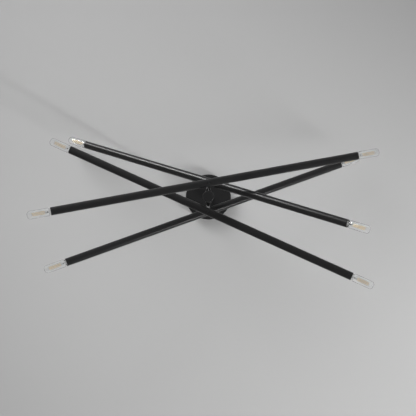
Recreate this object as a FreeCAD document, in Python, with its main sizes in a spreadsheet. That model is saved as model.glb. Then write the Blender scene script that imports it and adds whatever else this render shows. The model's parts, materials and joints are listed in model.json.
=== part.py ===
import FreeCAD, Part
import math
import os
import re
import Sketcher

# Ceiling light with four crossed tubes on one rigid stem.
# Origin: centre of the canopy on the ceiling plane. +Z points up, so the light hangs below zero.
# Each tube turns on a short arm: the arm rolls in its hub, which tilts the tube,
# and the tube swings on a hinge pin through the arm's tongue.
# Tube 1 is the lowest and tube 4 the highest.
# Odd tubes lie on the -Y side of the stem and even tubes on the +Y side.

SIZES = [
    ("tube_outer_dia", 20, "lamp tube, outside"),
    ("tube_wall", 1, "lamp tube wall"),
    ("tube_length", 785, "lamp tube, end to end"),
    ("arm_reach", 38.6, "stem axis to tube axis"),
    ("lowest_arm_reach", 33.8, "stem axis to the lowest tube's axis"),
    ("lowest_height", 336, "ceiling to the lowest tube"),
    ("level_spacing", 48, "one tube level to the next"),
    ("tilt_angle_1", 11.0, "degrees, +X end up"),
    ("tilt_angle_2", -8.7, "degrees, +X end up"),
    ("tilt_angle_3", -28.0, "degrees, +X end up"),
    ("tilt_angle_4", 15.9, "degrees, +X end up"),
    ("swing_angle_1", -10.8, "degrees about the hinge pin"),
    ("swing_angle_2", 23.4, "degrees about the hinge pin"),
    ("swing_angle_3", 14.9, "degrees about the hinge pin"),
    ("swing_angle_4", -19.4, "degrees about the hinge pin"),
    ("swing_stop_angle", 30, "degrees either way that the tube's slot lets the tongue swing"),
    ("cut_overrun", 1, "how far a cutting tool runs past a face"),
    ("seat_gap", 0.05, "gap between faces that are seated or screwed together"),
    ("running_play", 0.05, "radial play of a journal or pin"),
    ("canopy_dia", 125, "canopy, outside"),
    ("canopy_height", 26, "ceiling to the canopy's face"),
    ("canopy_wall", 1.2, "canopy sheet"),
    ("canopy_edge_radius", 4, "outer rounding between side and face"),
    ("canopy_rim_gap", 0.3, "ceiling to the canopy's rim"),
    ("bracket_width", 18, "ceiling bracket strip"),
    ("bracket_thickness", 2, "ceiling bracket strip"),
    ("bracket_wall_gap", 1, "bracket's corners to the canopy wall"),
    ("slot_spacing", 88.9, "between the ceiling screws"),
    ("slot_length", 12, "ceiling screw slot, end to end"),
    ("slot_width", 5, "ceiling screw slot"),
    ("screw_slot_width", 1, "driver slot in a screw head"),
    ("screw_slot_depth", 1, "driver slot in a screw head"),
    ("ground_screw_offset", 20, "stem axis to the ground screw"),
    ("ground_screw_dia", 4, "ground screw"),
    ("ground_screw_length", 1.8, "ground screw shank, shorter than the strip is thick"),
    ("ground_screw_head_dia", 8, "ground screw head"),
    ("ground_screw_head_height", 2.6, "ground screw head"),
    ("stem_dia", 10, "stem tube, outside"),
    ("stem_bore", 7, "stem tube, inside"),
    ("boss_dia", 18, "threaded boss of the bracket"),
    ("boss_height", 6, "threaded boss of the bracket"),
    ("nut_across_flats", 16, "stem lock nut"),
    ("nut_height", 4, "stem lock nut"),
    ("washer_dia", 17, "stem lock washer"),
    ("washer_thickness", 1, "stem lock washer"),
    ("window_height", 8, "side window in the stem for the cable"),
    ("window_width", 5, "side window in the stem for the cable"),
    ("window_margin", 1.8, "canopy floor to the window"),
    ("collar_dia", 22, "collar under the canopy"),
    ("collar_height", 9, "collar under the canopy"),
    ("collar_edge_radius", 1.5, "collar rounding"),
    ("grub_dia", 4, "grub screws of collar and hubs"),
    ("grub_recess", 0.6, "how deep a grub screw sits below the surface"),
    ("grub_key", 2, "hexagon socket of a grub screw, across flats"),
    ("terminal_length", 20, "terminal block along Y"),
    ("terminal_width", 14, "terminal block along X"),
    ("terminal_height", 12, "terminal block"),
    ("terminal_offset", 22, "stem axis to the terminal block's near face"),
    ("terminal_screw_dia", 4, "screw wells of the terminal block"),
    ("terminal_screw_pitch", 8, "between the screw wells"),
    ("cable_dia", 4.4, "supply cable in the stem"),
    ("cable_bend_radius", 7, "supply cable where it leaves the stem"),
    ("hub_dia", 26, "swivel hub"),
    ("hub_height", 20, "swivel hub"),
    ("hub_edge_radius", 2, "swivel hub rounding"),
    ("port_dia", 15, "side port of a hub"),
    ("port_share", 0.25, "part of an arm's free length that its hub's port takes"),
    ("lead_hole_dia", 4, "holes for the lamp leads through stem and arm"),
    ("lead_exit_dia", 3, "where the lamp leads leave the arm"),
    ("keeper_dia", 3, "keeper screw in a hub"),
    ("keeper_key", 1.5, "hexagon socket of a keeper screw, across flats"),
    ("keeper_offset", 9.8, "stem axis to the keeper screw"),
    ("keeper_groove_depth", 1, "groove in the journal"),
    ("keeper_groove_width", 3.4, "groove in the journal"),
    ("keeper_clearance", 0.2, "keeper screw to the bottom of its groove"),
    ("cap_dia", 28, "cap at the lower end of the stem"),
    ("cap_height", 9, "cap at the lower end of the stem"),
    ("cap_edge_radius", 3, "cap rounding"),
    ("cap_bore_depth", 5, "bore of the cap that takes the stem"),
    ("journal_dia", 8, "arm journal in the hub"),
    ("journal_start", 5.8, "stem axis to the journal's inner end"),
    ("friction_washer_thickness", 0.5, "between hub port and arm shoulder"),
    ("friction_washer_dia", 14, "between hub port and arm shoulder"),
    ("sleeve_dia", 10, "arm sleeve"),
    ("taper_share", 0.3, "part of an arm's free length that tapers from sleeve to tongue"),
    ("tongue_width", 8, "arm tongue along the tube"),
    ("tongue_thickness", 5, "arm tongue along the pin"),
    ("eye_dia", 11, "eye at the end of the tongue"),
    ("pin_dia", 4, "hinge pin"),
    ("pin_recess", 0.2, "pin end below the tube's surface"),
    ("tongue_play", 0.1, "tongue to the cheeks of its block"),
    ("slot_clearance", 0.5, "tongue to the slot in the tube wall"),
    ("block_length", 40, "pivot block inside the tube"),
    ("block_play", 0.05, "pivot block to the tube's bore"),
    ("block_web", 2, "solid back of the pivot block"),
    ("socket_length", 34, "lamp socket"),
    ("socket_recess", 1, "socket face below the tube's end"),
    ("socket_play", 0.05, "socket to the tube's bore"),
    ("socket_depth", 24, "lamp hole in the socket"),
    ("socket_tail_depth", 6, "lead recess in the back of a socket or block"),
    ("lead_dia", 4, "sleeved pair of lamp leads"),
    ("base_dia", 11.9, "lamp base shell"),
    ("base_play", 0.2, "lamp base to its socket"),
    ("base_thread_length", 17, "lamp base shell"),
    ("base_ridge_spacing", 2.4, "lamp base thread"),
    ("base_thread_depth", 0.5, "lamp base thread"),
    ("base_skirt_dia", 13.8, "lamp base skirt"),
    ("base_skirt_length", 3, "lamp base skirt"),
    ("base_front", 0.5, "lamp base front below the tube's end"),
    ("contact_dia", 5, "lamp base contact"),
    ("contact_length", 1.5, "lamp base contact"),
    ("insulator_length", 2, "lamp base insulator cone"),
    ("glass_dia", 20.4, "lamp glass"),
    ("glass_wall", 0.8, "lamp glass"),
    ("glass_neck_dia", 13, "lamp glass at the base"),
    ("glass_neck_length", 1.5, "straight neck of the lamp glass"),
    ("glass_shoulder", 5.5, "where the lamp glass is at full width"),
    ("glass_reach", 57.5, "lamp glass beyond the tube's end"),
    ("glass_tip_radius", 8, "rounding of the lamp's tip"),
    ("mount_dia", 4.5, "glass mount of the filaments"),
    ("mount_length", 10, "glass mount of the filaments"),
    ("filament_dia", 1.6, "filament rod"),
    ("filament_length", 32, "filament rod"),
    ("filament_offset", 3, "lamp axis to a filament rod"),
    ("filament_gap", 3, "mount to the filament rods"),
    ("support_dia", 0.8, "support wires of the filaments"),
]

LEVELS = [1, 2, 3, 4]
BOTH_WAYS = [-1, 1]
QUARTER_TURN = 90
HALF_TURN = 180
FULL_TURN = 360

Vector = FreeCAD.Vector
Placement = FreeCAD.Placement
Rotation = FreeCAD.Rotation

X_AXIS = Vector(1, 0, 0)
Y_AXIS = Vector(0, 1, 0)
Z_AXIS = Vector(0, 0, 1)
NO_TURN = Rotation()
ALONG_X = Rotation(Y_AXIS, QUARTER_TURN)
ALONG_MINUS_X = Rotation(Y_AXIS, -QUARTER_TURN)
ALONG_Y = Rotation(X_AXIS, -QUARTER_TURN)
ALONG_MINUS_Y = Rotation(X_AXIS, QUARTER_TURN)
ALONG_MINUS_Z = Rotation(X_AXIS, HALF_TURN)

doc = FreeCAD.newDocument("crossed_tube_light")
sheet = doc.addObject("Spreadsheet::Sheet", "Sizes")
for row, (alias, value, note) in enumerate(SIZES, start=1):
    sheet.set("A%d" % row, alias)
    sheet.set("B%d" % row, str(value))
    sheet.set("C%d" % row, note)
    sheet.setAlias("B%d" % row, alias)
doc.recompute()

parts = {}
ANY_SIZE = r"\b(" + "|".join(alias for alias, value, note in SIZES) + r")\b"


def full(formula):
    """Puts the sheet's name before each size named in a formula."""
    return re.sub(ANY_SIZE, r"Sizes.\1", formula)


def number(formula):
    """Works out a formula of named sizes."""
    return float(sheet.evalExpression(full(formula)))


def bind(item, prop, formula):
    """Ties one property to a formula of named sizes."""
    item.setExpression(prop, full(formula))


def put(item, where, turn=NO_TURN):
    """Places a primitive at three formulas, turned from its own +Z."""
    item.Placement = Placement(Vector(0, 0, 0), turn)
    for letter, formula in zip("xyz", where):
        if formula != "0":
            bind(item, "Placement.Base." + letter, formula)


def keep(item, label, where=None):
    """Makes an object one of the finished pieces, under its file's name."""
    item.Label = label
    if where is not None:
        item.Placement = where
    parts[label] = item
    return item


def cylinder(name, dia, length, where=("0", "0", "0"), turn=NO_TURN):
    """A round bar from a point, along its turned +Z."""
    item = doc.addObject("Part::Cylinder", name)
    bind(item, "Radius", "(" + dia + ") / 2")
    bind(item, "Height", length)
    put(item, where, turn)
    return item


def cone(name, dia_from, dia_to, length, where, turn=NO_TURN):
    """A cone frustum from a point, along its turned +Z."""
    item = doc.addObject("Part::Cone", name)
    bind(item, "Radius1", "(" + dia_from + ") / 2")
    bind(item, "Radius2", "(" + dia_to + ") / 2")
    bind(item, "Height", length)
    put(item, where, turn)
    return item


def box(name, sizes, centre):
    """A block of three formulas about its centre."""
    item = doc.addObject("Part::Box", name)
    for prop, letter, length, middle in zip(("Length", "Width", "Height"), "xyz", sizes, centre):
        bind(item, prop, length)
        bind(item, "Placement.Base." + letter, middle + " - (" + length + ") / 2")
    return item


def hexagon(name, across_flats, length, where, turn=NO_TURN):
    """A six-sided bar from a point, along its turned +Z."""
    item = doc.addObject("Part::Prism", name)
    item.Polygon = 6
    bind(item, "Circumradius", "(" + across_flats + ") / sqrt(3)")
    bind(item, "Height", length)
    put(item, where, turn)
    return item


def cut(name, base, tools):
    """Takes the tools away from a base, one after another."""
    result = base
    for count, tool in enumerate(tools, start=1):
        step = doc.addObject("Part::Cut", "%s_cut%d" % (name, count))
        step.Base = result
        step.Tool = tool
        result = step
    return result


def fuse(name, items):
    """Joins solids into one."""
    item = doc.addObject("Part::MultiFuse", name)
    item.Shapes = items
    item.Refine = True
    return item


def group(name, items):
    """Holds separate solids of one kind together."""
    item = doc.addObject("Part::Compound", name)
    item.Links = items
    return item


def rounded(name, base, radius, wanted):
    """Rounds the edges that the test picks."""
    doc.recompute()
    item = doc.addObject("Part::Fillet", name)
    item.Base = base
    size = number(radius)
    picked = [count for count, edge in enumerate(base.Shape.Edges, start=1) if wanted(edge)]
    if not picked:
        raise RuntimeError(name + " finds no edge")
    item.Edges = [(count, size, size) for count in picked]
    return item


def ring_at(letter, place, dia):
    """A test for the full circle of this diameter that lies at this place along the x or z axis."""
    near = number("seat_gap / 2")
    centre = number(place)
    radius = number(dia) / 2

    def wanted(edge):
        """Tells whether an edge is that circle."""
        if len(edge.Vertexes) != 1 or not hasattr(edge.Curve, "Radius"):
            return False
        there = getattr(edge.Curve.Center, letter)
        return abs(there - centre) < near and abs(edge.Curve.Radius - radius) < near

    return wanted


def turned_body(name, outline, letter):
    """Spins a closed outline of (x, y) points about the X axis, or of (x, z) points about the Z axis."""
    body = doc.addObject("PartDesign::Body", name)
    roles = {feature.Role: feature for feature in body.Origin.OriginFeatures}
    plane = roles["XY_Plane" if letter == "X" else "XZ_Plane"]
    axis = roles[letter + "_Axis"]
    sketch = body.newObject("Sketcher::SketchObject", name + "_outline")
    sketch.AttachmentSupport = (plane, [""])
    sketch.MapMode = "FlatFace"
    points = [Vector(number(a), number(b), 0) for a, b in outline]
    count = len(points)
    for i in range(count):
        sketch.addGeometry(Part.LineSegment(points[i], points[(i + 1) % count]), False)
    for i in range(count):
        sketch.addConstraint(Sketcher.Constraint("Coincident", i, 2, (i + 1) % count, 1))
    for i, pair in enumerate(outline):
        for kind, formula, line in zip(("DistanceX", "DistanceY"), pair, (-2, -1)):
            if formula == "0":
                sketch.addConstraint(Sketcher.Constraint("PointOnObject", i, 1, line))
                continue
            place = sketch.addConstraint(Sketcher.Constraint(kind, -1, 1, i, 1, number(formula)))
            bind(sketch, "Constraints[%d]" % place, formula)
    doc.recompute()
    spin = body.newObject("PartDesign::Revolution", name + "_spin")
    spin.Profile = sketch
    spin.ReferenceAxis = (axis, [""])
    spin.Angle = FULL_TURN
    sketch.Visibility = False
    doc.recompute()
    return body


def round_body_edges(body, name, radius, wanted):
    """Rounds the picked edges of a body's last feature."""
    tip = body.Tip
    names = ["Edge%d" % count for count, edge in enumerate(tip.Shape.Edges, start=1) if wanted(edge)]
    if not names:
        raise RuntimeError(name + " finds no edge")
    fillet = body.newObject("PartDesign::Fillet", name)
    fillet.Base = (tip, names)
    bind(fillet, "Radius", radius)
    doc.recompute()
    return fillet


# Where each level's pieces go.

def side_of(level):
    """Which side of the stem a tube lies on: -1 or 1 along Y."""
    return -1 if level % 2 else 1


def level_height(level):
    """Height of a tube's level, below zero."""
    return "(level_spacing * %d - lowest_height)" % LEVELS.index(level)


def reach_of(level):
    """How far a tube's axis is from the stem's."""
    return "lowest_arm_reach" if level == LEVELS[0] else "arm_reach"


def free_length(level):
    """What an arm has between its hub and its tube, beside the washer, for port, sleeve and taper."""
    beside_arm = "(hub_dia / 2 + friction_washer_thickness + 2 * seat_gap)"
    return "(" + reach_of(level) + " - " + beside_arm + " + " + TONGUE_START + ")"


def port_face(level):
    """The face of a hub's side port, from the stem's axis."""
    return "(hub_dia / 2 + port_share * " + free_length(level) + ")"


def facing(level):
    """Turns a piece built for the +Y side to its own side of the stem."""
    return Rotation(Z_AXIS, QUARTER_TURN - side_of(level) * QUARTER_TURN)


def hub_place(level):
    """A hub on the stem at its level."""
    return Placement(Vector(0, 0, number(level_height(level))), facing(level))


def pivot_point(level):
    """The point on a tube's axis that it turns about."""
    return Vector(0, side_of(level) * number(reach_of(level)), number(level_height(level)))


def arm_place(level):
    """An arm, rolled in its hub by the tilt."""
    tilt = Rotation(-Y_AXIS, number("tilt_angle_%d" % level))
    return Placement(pivot_point(level), tilt.multiply(facing(level)))


def tube_place(level):
    """A tube, tilted with its arm and swung on the hinge pin."""
    tilt = Rotation(-Y_AXIS, number("tilt_angle_%d" % level))
    swing = Rotation(Z_AXIS, number("swing_angle_%d" % level))
    return Placement(pivot_point(level), tilt.multiply(swing).multiply(facing(level)))


# Formulas that several pieces share.

CANOPY_INNER = "(canopy_dia - 2 * canopy_wall)"
TUBE_INNER = "(tube_outer_dia - 2 * tube_wall)"
BOSS_FOOT = "(-bracket_thickness - boss_height)"
WASHER_TOP = "(-bracket_thickness - boss_height - seat_gap)"
NUT_TOP = "(-bracket_thickness - boss_height - 2 * seat_gap - washer_thickness)"
STEM_TOP = "-seat_gap"
CAP_TOP = "(-lowest_height - hub_height / 2 - seat_gap)"
STEM_FOOT = "(-lowest_height - hub_height / 2 - cap_bore_depth)"
STEM_SEAT_DIA = "(stem_dia + 2 * seat_gap)"
WINDOW_MIDDLE = "(-canopy_height + canopy_wall + window_margin + window_height / 2)"
BLOCK_TOP = "(-bracket_thickness - seat_gap)"
SLOT_EDGE = "sqrt((tube_outer_dia / 2) ^ 2 - (tongue_thickness / 2 + slot_clearance) ^ 2)"
SWUNG_SLEEVE = "sleeve_dia / 2 * sin(swing_stop_angle)"
TONGUE_START = "(-(" + SLOT_EDGE + " + slot_clearance + " + SWUNG_SLEEVE + ") / cos(swing_stop_angle))"
SWUNG_TUBE = "tube_outer_dia / 2 * tan(swing_stop_angle)"
SLOT_HALF = "(" + SWUNG_TUBE + " + tongue_width / 2 / cos(swing_stop_angle) + slot_clearance)"


def make_bracket():
    """The steel strip that screws to the ceiling box, and its threaded boss for the stem."""
    half = "sqrt((" + CANOPY_INNER + " / 2 - bracket_wall_gap) ^ 2 - (bracket_width / 2) ^ 2)"
    strip_sizes = ("2 * " + half, "bracket_width", "bracket_thickness")
    strip = box("bracket_strip", strip_sizes, ("0", "0", "-bracket_thickness / 2"))
    through = "4 * bracket_thickness"
    below = "-2 * bracket_thickness"
    drillings = [
        cylinder("bracket_centre_hole", STEM_SEAT_DIA, through, ("0", "0", below)),
        cylinder("ground_hole", "ground_screw_dia + 2 * seat_gap", through,
                 ("-ground_screw_offset", "0", below)),
    ]
    straight = "(slot_length - slot_width)"
    for side, name in ((-1, "left"), (1, "right")):
        middle = "%d * slot_spacing / 2" % side
        drillings.append(box("slot_middle_" + name, (straight, "slot_width", through), (middle, "0", "0")))
        for end, word in ((-1, "near"), (1, "far")):
            drillings.append(cylinder("slot_round_" + name + "_" + word, "slot_width", through,
                                      (middle + " + %d * " % end + straight + " / 2", "0", below)))
    keep(cut("bracket", strip, drillings), "ceiling_bracket")

    boss = cylinder("boss_bar", "boss_dia", "boss_height", ("0", "0", BOSS_FOOT))
    bore = cylinder("boss_bore", STEM_SEAT_DIA, "boss_height + 2 * cut_overrun",
                    ("0", "0", BOSS_FOOT + " - cut_overrun"))
    keep(cut("boss", boss, [bore]), "bracket_boss")

    ground = slotted_screw("ground", "ground_screw_dia", "ground_screw_length", "ground_screw_head_dia",
                           "ground_screw_head_height")
    under_strip = Vector(-number("ground_screw_offset"), 0, -number("bracket_thickness + seat_gap"))
    keep(ground, "ground_screw", Placement(under_strip, ALONG_MINUS_Z))


def slotted_screw(name, dia, length, head_dia, head_height):
    """A slotted screw whose head stands on zero towards +Z and whose shank goes down."""
    shank = cylinder(name + "_shank", dia, length + " + " + head_height + " / 2", ("0", "0", "-" + length))
    head = cylinder(name + "_head", head_dia, head_height)
    whole = fuse(name + "_whole", [shank, head])
    slot_sizes = (head_dia + " + 2 * cut_overrun", "screw_slot_width", "2 * screw_slot_depth")
    slot = box(name + "_slot", slot_sizes, ("0", "0", head_height))
    return cut(name, whole, [slot])


def make_canopy():
    """The spun cup that covers the bracket and the wiring."""
    outline = [
        ("canopy_dia / 2", "-canopy_rim_gap"),
        ("canopy_dia / 2", "-canopy_height"),
        (STEM_SEAT_DIA + " / 2", "-canopy_height"),
        (STEM_SEAT_DIA + " / 2", "-canopy_height + canopy_wall"),
        (CANOPY_INNER + " / 2", "-canopy_height + canopy_wall"),
        (CANOPY_INNER + " / 2", "-canopy_rim_gap"),
    ]
    cup = turned_body("canopy_cup", outline, "Z")
    round_body_edges(cup, "canopy_outer_round", "canopy_edge_radius",
                     ring_at("z", "-canopy_height", "canopy_dia"))
    round_body_edges(cup, "canopy_inner_round", "canopy_edge_radius - canopy_wall",
                     ring_at("z", "-canopy_height + canopy_wall", CANOPY_INNER))
    keep(cup, "canopy")


def make_stem():
    """The stem tube, its nut and washer, the collar under the canopy and the cap at its foot."""
    bar = cylinder("stem_bar", "stem_dia", STEM_TOP + " - " + STEM_FOOT, ("0", "0", STEM_FOOT))
    tools = [cylinder("stem_hollow", "stem_bore", STEM_TOP + " - " + STEM_FOOT + " + 2 * cut_overrun",
                      ("0", "0", STEM_FOOT + " - cut_overrun"))]
    tools.append(box("stem_window", ("stem_dia", "window_width", "window_height"),
                     ("stem_dia / 2", "0", WINDOW_MIDDLE)))
    for level in LEVELS:
        turn = ALONG_Y if side_of(level) > 0 else ALONG_MINUS_Y
        tools.append(cylinder("stem_lead_hole_%d" % level, "lead_hole_dia", "stem_dia",
                              ("0", "0", level_height(level)), turn))
    keep(cut("stem", bar, tools), "stem_tube")

    washer = cylinder("washer_disc", "washer_dia", "washer_thickness",
                      ("0", "0", WASHER_TOP + " - washer_thickness"))
    washer_hole = cylinder("washer_hole", STEM_SEAT_DIA, "washer_thickness + 2 * cut_overrun",
                           ("0", "0", WASHER_TOP + " - washer_thickness - cut_overrun"))
    keep(cut("washer", washer, [washer_hole]), "stem_lock_washer")

    nut = hexagon("nut_hexagon", "nut_across_flats", "nut_height", ("0", "0", NUT_TOP + " - nut_height"))
    nut_hole = cylinder("nut_hole", STEM_SEAT_DIA, "nut_height + 2 * cut_overrun",
                        ("0", "0", NUT_TOP + " - nut_height - cut_overrun"))
    keep(cut("nut", nut, [nut_hole]), "stem_lock_nut")

    collar_top = "(-canopy_height - seat_gap)"
    collar_bar = cylinder("collar_bar", "collar_dia", "collar_height",
                          ("0", "0", collar_top + " - collar_height"))
    soft_collar = rounded("collar_round", collar_bar, "collar_edge_radius",
                          ring_at("z", collar_top + " - collar_height", "collar_dia"))
    collar_hole = cylinder("collar_hole", STEM_SEAT_DIA, "collar_height + 2 * cut_overrun",
                           ("0", "0", collar_top + " - collar_height - cut_overrun"))
    collar_middle = collar_top + " - collar_height / 2"
    collar_thread = cylinder("collar_thread", "grub_dia + 2 * seat_gap", "collar_dia",
                             ("0", "0", collar_middle), ALONG_X)
    keep(cut("collar", soft_collar, [collar_hole, collar_thread]), "canopy_collar")
    grub = grub_screw("collar_grub", "collar_dia", ("stem_dia / 2 + seat_gap", "0", collar_middle), ALONG_X)
    keep(grub, "collar_grub_screw")

    cap_bar = cylinder("cap_bar", "cap_dia", "cap_height", ("0", "0", CAP_TOP + " - cap_height"))
    soft_cap = rounded("cap_round", cap_bar, "cap_edge_radius",
                       ring_at("z", CAP_TOP + " - cap_height", "cap_dia"))
    cap_bore = cylinder("cap_bore", STEM_SEAT_DIA, "cap_bore_depth + cut_overrun",
                        ("0", "0", CAP_TOP + " - cap_bore_depth"))
    keep(cut("cap", soft_cap, [cap_bore]), "stem_end_cap")


def grub_screw(name, outer_dia, where, turn):
    """A headless screw from the stem's surface out to just below the outer surface."""
    length = outer_dia + " / 2 - stem_dia / 2 - seat_gap - grub_recess"
    bar = cylinder(name + "_bar", "grub_dia", length)
    key = hexagon(name + "_key", "grub_key", "grub_dia / 2 + cut_overrun",
                  ("0", "0", length + " - grub_dia / 2"))
    whole = cut(name, bar, [key])
    put(whole, where, turn)
    return whole


def make_terminal():
    """The terminal block under the bracket, with its screw wells."""
    block = box("terminal_blank", ("terminal_width", "terminal_length", "terminal_height"),
                ("terminal_offset + terminal_width / 2", "0", BLOCK_TOP + " - terminal_height / 2"))
    wells = []
    for side in BOTH_WAYS:
        for across in BOTH_WAYS:
            well_x = "terminal_offset + terminal_width / 2 + %d * terminal_width / 4" % across
            wells.append(cylinder("well_%d_%d" % (side + 1, across + 1), "terminal_screw_dia",
                                  "terminal_height / 3 + cut_overrun",
                                  (well_x, "%d * terminal_screw_pitch / 2" % side,
                                   BLOCK_TOP + " - terminal_height - cut_overrun")))
    keep(cut("terminal", block, wells), "terminal_block")


def quarter_arc(start, start_way, radius, end_way):
    """A quarter turn from a point, leaving it one way and ending the other way."""
    middle = start + (start_way * math.sin(math.pi / 4) + end_way * (1 - math.cos(math.pi / 4))) * radius
    end = start + (start_way + end_way) * radius
    return Part.Arc(start, middle, end).toShape(), end


def make_cable():
    """The cable that runs up the stem, out of its window and up into the terminal block."""
    bend = number("cable_bend_radius")
    height = number(WINDOW_MIDDLE)
    last_bend = number(BLOCK_TOP + " - terminal_height - seat_gap") - height
    low = Vector(0, 0, number(STEM_FOOT + " + seat_gap"))
    bend_start = Vector(0, 0, height - bend)
    first_arc, first_end = quarter_arc(bend_start, Z_AXIS, bend, X_AXIS)
    last_start = Vector(number("terminal_offset + terminal_width / 2") - last_bend, 0, height)
    last_arc, last_end = quarter_arc(last_start, X_AXIS, last_bend, Z_AXIS)
    path = Part.Wire([
        Part.LineSegment(low, bend_start).toShape(),
        first_arc,
        Part.LineSegment(first_end, last_start).toShape(),
        last_arc,
    ])
    section = Part.Wire([Part.Circle(low, Z_AXIS, number("cable_dia / 2")).toShape()])
    cable = doc.addObject("Part::Feature", "cable")
    cable.Shape = path.makePipeShell([section], True, True)
    expected = path.Length * math.pi * number("cable_dia / 2") ** 2
    print("stem cable: bend radii", bend, "and", round(last_bend, 2), "and volume over section times length",
          round(cable.Shape.Volume / expected, 4))
    keep(cable, "stem_cable")


def make_hub(level):
    """One hub on the stem, with the side port that its arm rolls in."""
    tag = "hub_%d" % level
    bar = cylinder(tag + "_bar", "hub_dia", "hub_height", ("0", "0", "-hub_height / 2"))
    upper = ring_at("z", "hub_height / 2", "hub_dia")
    lower = ring_at("z", "-hub_height / 2", "hub_dia")
    soft = rounded(tag + "_round", bar, "hub_edge_radius", lambda edge: upper(edge) or lower(edge))
    port = cylinder(tag + "_port", "port_dia", port_face(level), turn=ALONG_Y)
    solid = fuse(tag + "_solid", [soft, port])
    tools = [
        cylinder(tag + "_stem_hole", STEM_SEAT_DIA, "hub_height + 2 * cut_overrun",
                 ("0", "0", "-hub_height / 2 - cut_overrun")),
        cylinder(tag + "_journal_hole", "journal_dia + 2 * running_play",
                 port_face(level) + " + cut_overrun", turn=ALONG_Y),
        cylinder(tag + "_keeper_hole", "keeper_dia + 2 * seat_gap", "hub_height",
                 ("0", "keeper_offset", "0")),
        cylinder(tag + "_grub_hole", "grub_dia + 2 * seat_gap", "hub_dia", turn=ALONG_MINUS_Y),
    ]
    keep(cut(tag, solid, tools), "swivel_hub_%d" % level, hub_place(level))


def make_hub_screws():
    """The grub screws that hold the hubs on the stem, and the keeper screws that hold the arms in them."""
    grubs = []
    keepers = []
    for level in LEVELS:
        grub = grub_screw("hub_grub_%d" % level, "hub_dia", ("0", "0", "0"), NO_TURN)
        at_stem = Placement(Vector(0, -number("stem_dia / 2 + seat_gap"), 0), ALONG_MINUS_Y)
        grub.Placement = hub_place(level).multiply(at_stem)
        grubs.append(grub)
        foot = "(journal_dia / 2 - keeper_groove_depth + keeper_clearance)"
        keeper_length = "hub_height / 2 - grub_recess - " + foot
        bar = cylinder("keeper_bar_%d" % level, "keeper_dia", keeper_length)
        key = hexagon("keeper_key_%d" % level, "keeper_key", "keeper_dia / 2 + cut_overrun",
                      ("0", "0", keeper_length + " - keeper_dia / 2"))
        keeper = cut("keeper_%d" % level, bar, [key])
        in_hub = Placement(Vector(0, number("keeper_offset"), number(foot)), NO_TURN)
        keeper.Placement = hub_place(level).multiply(in_hub)
        keepers.append(keeper)
    keep(group("hub_grubs", grubs), "hub_grub_screws")
    keep(group("keepers", keepers), "arm_keeper_screws")


def make_friction_washers():
    """The washers between the hubs' ports and their arms."""
    washers = []
    for level in LEVELS:
        tag = "friction_washer_%d" % level
        disc = cylinder(tag + "_disc", "friction_washer_dia", "friction_washer_thickness")
        hole = cylinder(tag + "_hole", "journal_dia + 2 * running_play",
                        "friction_washer_thickness + 2 * cut_overrun", ("0", "0", "-cut_overrun"))
        washer = cut(tag, disc, [hole])
        at_port = Placement(Vector(0, number(port_face(level) + " + seat_gap"), 0), ALONG_Y)
        washer.Placement = hub_place(level).multiply(at_port)
        washers.append(washer)
    keep(group("washers", washers), "friction_washers")


def make_arm(level):
    """One arm: journal, sleeve and tongue, built towards its pivot point at zero from the stem at -Y."""
    tag = "arm_%d" % level
    reach = reach_of(level)
    journal_from = "(journal_start - " + reach + ")"
    sleeve_from = "(" + port_face(level) + " + friction_washer_thickness + 2 * seat_gap - " + reach + ")"
    taper_length = "(taper_share * " + free_length(level) + ")"
    taper_from = "(" + TONGUE_START + " - " + taper_length + ")"
    journal = cylinder(tag + "_journal", "journal_dia", sleeve_from + " - " + journal_from,
                       ("0", journal_from, "0"), ALONG_Y)
    sleeve = cylinder(tag + "_sleeve", "sleeve_dia", taper_from + " - " + sleeve_from,
                      ("0", sleeve_from, "0"), ALONG_Y)
    taper = cone(tag + "_taper", "sleeve_dia", "tongue_width", taper_length, ("0", taper_from, "0"), ALONG_Y)
    tongue = box(tag + "_tongue", ("tongue_width", "-" + taper_from, "tongue_thickness"),
                 ("0", taper_from + " / 2", "0"))
    eye = cylinder(tag + "_eye", "eye_dia", "tongue_thickness", ("0", "0", "-tongue_thickness / 2"))
    solid = fuse(tag + "_solid", [journal, sleeve, taper, tongue, eye])
    groove_from = "(keeper_offset - " + reach + " - keeper_groove_width / 2)"
    groove_bar = cylinder(tag + "_groove_bar", "2 * journal_dia", "keeper_groove_width",
                          ("0", groove_from, "0"), ALONG_Y)
    groove_core = cylinder(tag + "_groove_core", "journal_dia - 2 * keeper_groove_depth",
                           "keeper_groove_width + 2 * cut_overrun",
                           ("0", groove_from + " - cut_overrun", "0"), ALONG_Y)
    exit_middle = "(" + sleeve_from + " / 2 + " + TONGUE_START + " / 2)"
    tools = [
        cut(tag + "_groove", groove_bar, [groove_core]),
        cylinder(tag + "_pin_hole", "pin_dia + 2 * running_play", "tongue_thickness + 2 * cut_overrun",
                 ("0", "0", "-tongue_thickness / 2 - cut_overrun")),
        cylinder(tag + "_lead_bore", "lead_hole_dia", exit_middle + " - " + journal_from + " + cut_overrun",
                 ("0", journal_from + " - cut_overrun", "0"), ALONG_Y),
        cylinder(tag + "_lead_exit", "lead_exit_dia", "sleeve_dia", ("0", exit_middle, "0")),
    ]
    keep(cut(tag, solid, tools), "arm_%d" % level, arm_place(level))


def make_pin(level):
    """The hinge pin through tube, block and tongue."""
    pin = cylinder("pin_%d" % level, "pin_dia", "tube_outer_dia - 2 * pin_recess")
    half_down = Placement(Vector(0, 0, -number("tube_outer_dia / 2 - pin_recess")), NO_TURN)
    keep(pin, "hinge_pin_%d" % level, tube_place(level).multiply(half_down))


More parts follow.
